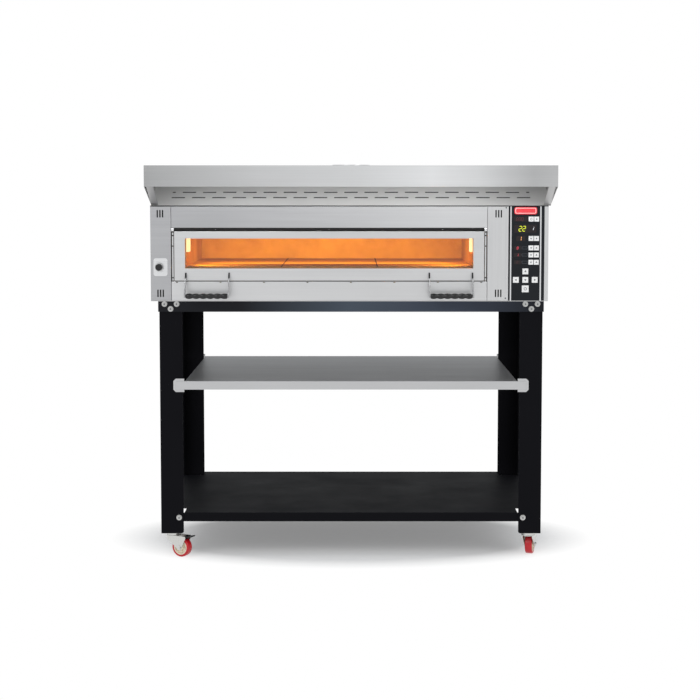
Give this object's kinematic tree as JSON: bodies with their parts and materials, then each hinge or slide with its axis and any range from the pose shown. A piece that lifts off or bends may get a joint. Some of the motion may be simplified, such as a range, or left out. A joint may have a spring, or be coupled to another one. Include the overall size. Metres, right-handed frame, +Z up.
{
  "type": "deck oven",
  "caption": "Single-deck electric baking oven with a top-hinged glazed door, key panel and exhaust hood, on a castored steel stand with shelves.",
  "frame": {"origin": "on the floor, under the middle of the object's box", "axes": "+X to the right seen from the front, +Y from the door to the back, +Z up along the flue"},
  "size_m": [1.52, 1.08, 1.504],
  "materials": {
    "stainless": "brushed",
    "hood_steel": "brushed",
    "liner_steel": "heat-dulled",
    "black_paint": "satin powder coat",
    "shelf_steel": "satin",
    "bolt_zinc": "zinc plated",
    "caster_zinc": "zinc plated",
    "wheel_polyurethane": "satin",
    "pedal_steel": "satin",
    "arm_steel": "satin",
    "grip_black": "satin",
    "hinge_black": "satin",
    "knob_black": "satin",
    "gland_black": "matte",
    "window_glass": "clear",
    "stone": "matte",
    "element_steel": "heat-dulled",
    "lamp_glass": "frosted",
    "wool": "fibrous",
    "panel_black": "satin film",
    "trim_aluminium": "satin anodised",
    "display": "gloss",
    "key_white": "satin",
    "board": "satin"
  },
  "bodies": {
    "root": {"base_tray": "stainless", "top_cover": "stainless", "side_panels": "stainless", "rear_cover": "stainless", "left_front_panel": "stainless", "vent_panel": "stainless", "upper_front_panel": "stainless", "lower_front_panel": "stainless", "hood_shell": "hood_steel", "hood_baffle": "hood_steel", "flue_collar": "hood_steel", "chamber_liner": "liner_steel", "stand_legs": "black_paint", "stand_rails": "black_paint", "bottom_shelf": "black_paint", "middle_shelf": "shelf_steel", "shelf_hooks": "shelf_steel", "stand_bolts": "bolt_zinc", "caster_plates": "caster_zinc", "cable_gland": "gland_black", "baking_stones": "stone", "heating_elements": "element_steel", "chamber_lamps": "lamp_glass", "insulation": "wool", "control_panel": "panel_black", "panel_trims": "trim_aluminium", "display_windows": "display", "control_board": "board"},
    "door": {"door_frame": "stainless", "door_inner_panel": "stainless", "door_glass": "window_glass", "door_hinge": "hinge_black", "handle_arms": "arm_steel", "handle_grips": "grip_black"},
    "damper": {"damper_knob": "knob_black"},
    "fork_front_left": {"caster_fork_front_left": "caster_zinc"},
    "wheel_front_left": {"caster_wheel_front_left": "wheel_polyurethane"},
    "pedal_front_left": {"brake_pedal_front_left": "pedal_steel"},
    "fork_front_right": {"caster_fork_front_right": "caster_zinc"},
    "wheel_front_right": {"caster_wheel_front_right": "wheel_polyurethane"},
    "pedal_front_right": {"brake_pedal_front_right": "pedal_steel"},
    "fork_rear_left": {"caster_fork_rear_left": "caster_zinc"},
    "wheel_rear_left": {"caster_wheel_rear_left": "wheel_polyurethane"},
    "fork_rear_right": {"caster_fork_rear_right": "caster_zinc"},
    "wheel_rear_right": {"caster_wheel_rear_right": "wheel_polyurethane"},
    "lamp_key": {"lamp_key": "key_white"},
    "fan_key": {"fan_key": "key_white"},
    "program_down_key": {"program_down_key": "key_white"},
    "program_up_key": {"program_up_key": "key_white"},
    "top_heat_down_key": {"top_heat_down_key": "key_white"},
    "top_heat_up_key": {"top_heat_up_key": "key_white"},
    "bottom_heat_down_key": {"bottom_heat_down_key": "key_white"},
    "bottom_heat_up_key": {"bottom_heat_up_key": "key_white"},
    "timer_down_key": {"timer_down_key": "key_white"},
    "timer_up_key": {"timer_up_key": "key_white"},
    "arrow_up_key": {"arrow_up_key": "key_white"},
    "arrow_left_key": {"arrow_left_key": "key_white"},
    "arrow_down_key": {"arrow_down_key": "key_white"},
    "arrow_right_key": {"arrow_right_key": "key_white"},
    "power_key": {"power_key": "key_white"}
  },
  "joints": [
    {"name": "door_hinge", "type": "hinge", "parent": "root", "child": "door", "pos_m": [0, -0.384, 1.2545], "axis": [-1, 0, 0], "range_deg": [0, 90]},
    {"name": "damper_pull", "type": "slide", "parent": "root", "child": "damper", "axis": [0, -1, 0], "range_m": [0, 0.06]},
    {"name": "swivel_front_left", "type": "hinge", "parent": "root", "child": "fork_front_left", "pos_m": [-0.682, -0.344, 0.08], "axis": [0, 0, 1], "continuous": true},
    {"name": "roll_front_left", "type": "hinge", "parent": "fork_front_left", "child": "wheel_front_left", "pos_m": [-0.64845, -0.36184, 0.0375], "axis": [-0.4695, -0.8829, 0], "continuous": true},
    {"name": "brake_front_left", "type": "hinge", "parent": "fork_front_left", "child": "pedal_front_left", "pos_m": [-0.63079, -0.37123, 0.078], "axis": [0.4695, 0.8829, 0], "range_deg": [0, 12]},
    {"name": "swivel_front_right", "type": "hinge", "parent": "root", "child": "fork_front_right", "pos_m": [0.682, -0.344, 0.08], "axis": [0, 0, 1], "continuous": true},
    {"name": "roll_front_right", "type": "hinge", "parent": "fork_front_right", "child": "wheel_front_right", "pos_m": [0.69247, -0.30747, 0.0375], "axis": [0.9613, -0.2756, 0], "continuous": true},
    {"name": "brake_front_right", "type": "hinge", "parent": "fork_front_right", "child": "pedal_front_right", "pos_m": [0.69799, -0.28825, 0.078], "axis": [-0.9613, 0.2756, 0], "range_deg": [0, 12]},
    {"name": "swivel_rear_left", "type": "hinge", "parent": "root", "child": "fork_rear_left", "pos_m": [-0.682, 0.484, 0.08], "axis": [0, 0, 1], "continuous": true},
    {"name": "roll_rear_left", "type": "hinge", "parent": "fork_rear_left", "child": "wheel_rear_left", "pos_m": [-0.67281, 0.44713, 0.0375], "axis": [-0.9703, -0.2419, 0], "continuous": true},
    {"name": "swivel_rear_right", "type": "hinge", "parent": "root", "child": "fork_rear_right", "pos_m": [0.682, 0.484, 0.08], "axis": [0, 0, 1], "continuous": true},
    {"name": "roll_rear_right", "type": "hinge", "parent": "fork_rear_right", "child": "wheel_rear_right", "pos_m": [0.67606, 0.44647, 0.0375], "axis": [-0.9877, 0.1564, 0], "continuous": true},
    {"name": "lamp_press", "type": "slide", "parent": "root", "child": "lamp_key", "axis": [0, 1, 0], "range_m": [0, 0.001], "stiffness_N_per_m": 800},
    {"name": "fan_press", "type": "slide", "parent": "root", "child": "fan_key", "axis": [0, 1, 0], "range_m": [0, 0.001], "stiffness_N_per_m": 800},
    {"name": "program_down_press", "type": "slide", "parent": "root", "child": "program_down_key", "axis": [0, 1, 0], "range_m": [0, 0.001], "stiffness_N_per_m": 800},
    {"name": "program_up_press", "type": "slide", "parent": "root", "child": "program_up_key", "axis": [0, 1, 0], "range_m": [0, 0.001], "stiffness_N_per_m": 800},
    {"name": "top_heat_down_press", "type": "slide", "parent": "root", "child": "top_heat_down_key", "axis": [0, 1, 0], "range_m": [0, 0.001], "stiffness_N_per_m": 800},
    {"name": "top_heat_up_press", "type": "slide", "parent": "root", "child": "top_heat_up_key", "axis": [0, 1, 0], "range_m": [0, 0.001], "stiffness_N_per_m": 800},
    {"name": "bottom_heat_down_press", "type": "slide", "parent": "root", "child": "bottom_heat_down_key", "axis": [0, 1, 0], "range_m": [0, 0.001], "stiffness_N_per_m": 800},
    {"name": "bottom_heat_up_press", "type": "slide", "parent": "root", "child": "bottom_heat_up_key", "axis": [0, 1, 0], "range_m": [0, 0.001], "stiffness_N_per_m": 800},
    {"name": "timer_down_press", "type": "slide", "parent": "root", "child": "timer_down_key", "axis": [0, 1, 0], "range_m": [0, 0.001], "stiffness_N_per_m": 800},
    {"name": "timer_up_press", "type": "slide", "parent": "root", "child": "timer_up_key", "axis": [0, 1, 0], "range_m": [0, 0.001], "stiffness_N_per_m": 800},
    {"name": "arrow_up_press", "type": "slide", "parent": "root", "child": "arrow_up_key", "axis": [0, 1, 0], "range_m": [0, 0.001], "stiffness_N_per_m": 800},
    {"name": "arrow_left_press", "type": "slide", "parent": "root", "child": "arrow_left_key", "axis": [0, 1, 0], "range_m": [0, 0.001], "stiffness_N_per_m": 800},
    {"name": "arrow_down_press", "type": "slide", "parent": "root", "child": "arrow_down_key", "axis": [0, 1, 0], "range_m": [0, 0.001], "stiffness_N_per_m": 800},
    {"name": "arrow_right_press", "type": "slide", "parent": "root", "child": "arrow_right_key", "axis": [0, 1, 0], "range_m": [0, 0.001], "stiffness_N_per_m": 800},
    {"name": "power_press", "type": "slide", "parent": "root", "child": "power_key", "axis": [0, 1, 0], "range_m": [0, 0.001], "stiffness_N_per_m": 800}
  ]
}
